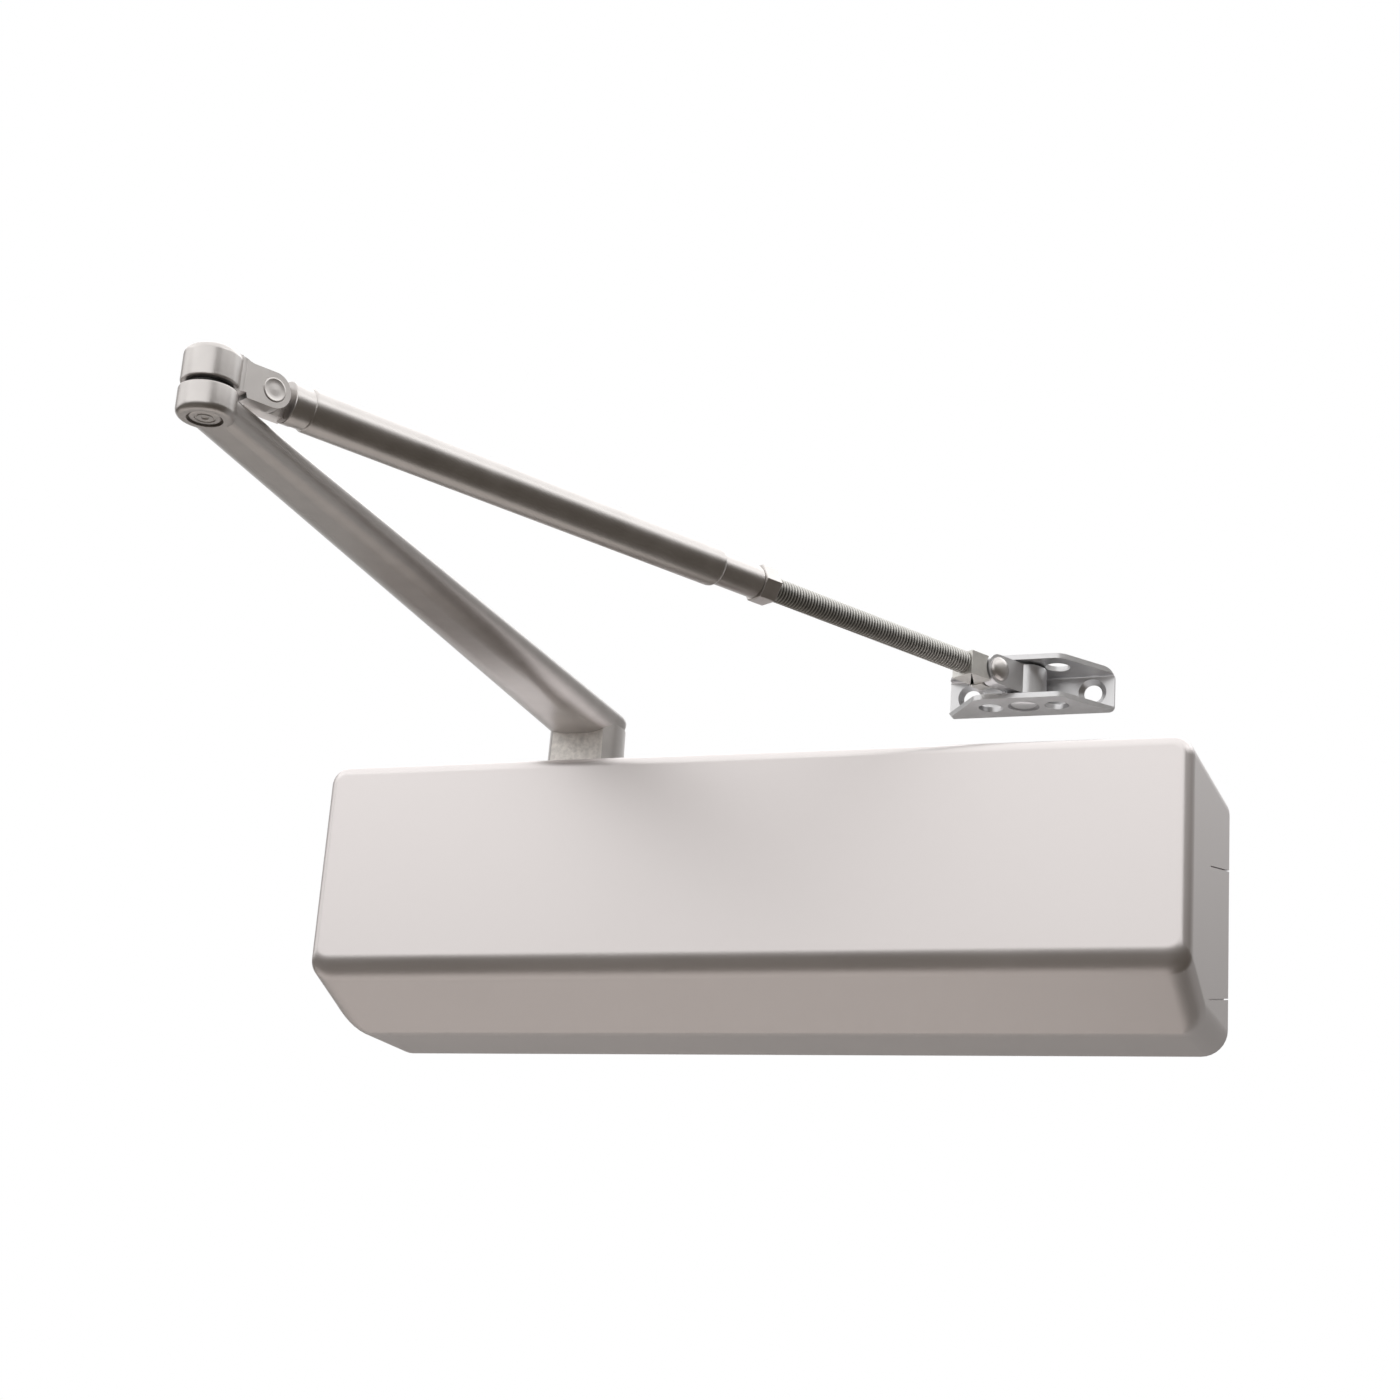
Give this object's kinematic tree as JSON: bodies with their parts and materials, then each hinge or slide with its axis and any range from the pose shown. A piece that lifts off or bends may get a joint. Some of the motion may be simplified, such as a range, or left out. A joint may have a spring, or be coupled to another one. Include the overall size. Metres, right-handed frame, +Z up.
{
  "type": "door closer",
  "caption": "Surface door closer: a boxed cover over a cast rack-and-pinion body, with a tapered main arm, an adjustable forearm rod and a U-shaped frame shoe.",
  "frame": {"origin": "middle of the four body screw holes, on the plane of the door", "axes": "+X along the cover towards the spring end, +Y into the door (the room side is -Y), +Z up"},
  "size_m": [0.315, 0.3298, 0.1325],
  "materials": {
    "silver_cover": "satin silver paint",
    "silver_paint": "satin silver paint",
    "cast_body": "painted casting",
    "cap_steel": "turned",
    "seal_rubber": "matt",
    "ground_steel": "ground",
    "spring_steel": "oiled",
    "clip_steel": "zinc plated",
    "valve_brass": "turned",
    "washer_nylon": "matt"
  },
  "bodies": {
    "base": {"closer_body": "cast_body", "valve_end_cap": "cap_steel", "spring_end_cap": "cap_steel", "end_cap_seals": "seal_rubber", "closing_spring": "spring_steel", "spring_plate": "cap_steel", "upper_bearing": "ground_steel", "lower_bearing": "ground_steel", "upper_seal": "seal_rubber", "lower_seal": "seal_rubber", "upper_gland": "cap_steel", "lower_gland": "cap_steel", "left_cover_clip": "clip_steel", "right_cover_clip": "clip_steel", "clip_screws": "clip_steel"},
    "cover": {"cover": "silver_cover"},
    "spindle": {"pinion_spindle": "ground_steel", "main_arm": "silver_paint", "arm_washer": "clip_steel", "arm_screw": "clip_steel", "elbow_rivet": "silver_paint", "elbow_washer": "washer_nylon"},
    "piston": {"rack_piston": "ground_steel", "piston_rings": "seal_rubber"},
    "power_screw": {"power_screw": "clip_steel"},
    "sweep_valve": {"sweep_valve": "valve_brass"},
    "latch_valve": {"latch_valve": "valve_brass"},
    "backcheck_valve": {"backcheck_valve": "valve_brass"},
    "knuckle": {"elbow_knuckle": "silver_paint", "elbow_tilt_rivet": "silver_paint"},
    "forearm": {"forearm_fitting": "silver_paint", "forearm_tube": "silver_paint"},
    "jam_nut": {"jam_nut": "silver_paint"},
    "rod": {"threaded_rod": "silver_paint"},
    "shoe_knuckle": {"shoe_knuckle": "silver_paint", "shoe_tilt_rivet": "silver_paint"},
    "shoe": {"shoe_bracket": "silver_paint", "shoe_pin": "silver_paint"}
  },
  "joints": [
    {"name": "cover_pull_off", "type": "slide", "parent": "base", "child": "cover", "axis": [0, -1, 0], "range_m": [0, 0.09]},
    {"name": "spindle_turn", "type": "hinge", "parent": "base", "child": "spindle", "pos_m": [-0.0722, -0.0365, 0], "axis": [0, 0, 1], "range_deg": [0, 170], "stiffness_Nm_per_rad": 4, "springref_deg": -114.59},
    {"name": "piston_slide", "type": "slide", "parent": "base", "child": "piston", "axis": [1, 0, 0], "range_m": [0, 0.027], "deforming": ["closing_spring"]},
    {"name": "power_screw_turn", "type": "hinge", "parent": "base", "child": "power_screw", "pos_m": [0.123, -0.0365, 0], "axis": [1, 0, 0], "range_deg": [0, 1440]},
    {"name": "sweep_valve_turn", "type": "hinge", "parent": "base", "child": "sweep_valve", "pos_m": [-0.12, -0.0615, 0.013], "axis": [0, -1, 0], "range_deg": [0, 720]},
    {"name": "latch_valve_turn", "type": "hinge", "parent": "base", "child": "latch_valve", "pos_m": [-0.12, -0.0615, 0], "axis": [0, -1, 0], "range_deg": [0, 720]},
    {"name": "backcheck_valve_turn", "type": "hinge", "parent": "base", "child": "backcheck_valve", "pos_m": [-0.12, -0.0615, -0.013], "axis": [0, -1, 0], "range_deg": [0, 720]},
    {"name": "elbow_turn", "type": "hinge", "parent": "spindle", "child": "knuckle", "pos_m": [-0.06722, -0.32156, 0.07555], "axis": [0, 0, -1], "range_deg": [-8, 145]},
    {"name": "elbow_tilt", "type": "hinge", "parent": "knuckle", "child": "forearm", "pos_m": [-0.05884, -0.30631, 0.07935], "axis": [0.8763, -0.4818, 0], "range_deg": [-2.5, 12]},
    {"name": "jam_nut_turn", "type": "hinge", "parent": "forearm", "child": "jam_nut", "pos_m": [0.02961, -0.14542, 0.07935], "axis": [0.4818, 0.8763, 0], "continuous": true},
    {"name": "rod_length", "type": "slide", "parent": "forearm", "child": "rod", "axis": [0.4818, 0.8763, 0], "range_m": [-0.025, 0.035]},
    {"name": "shoe_tilt", "type": "hinge", "parent": "rod", "child": "shoe_knuckle", "pos_m": [0.0825, -0.0492, 0.07935], "axis": [0.8763, -0.4818, 0], "range_deg": [-10, 10]},
    {"name": "shoe_turn", "type": "hinge", "parent": "shoe_knuckle", "child": "shoe", "pos_m": [0.09118, -0.03343, 0.07935], "axis": [0, 0, 1], "range_deg": [-75, 18]}
  ],
  "couplings": [
    {"joint": "piston_slide", "follows": "spindle_turn", "m_per_rad": 0.009}
  ]
}
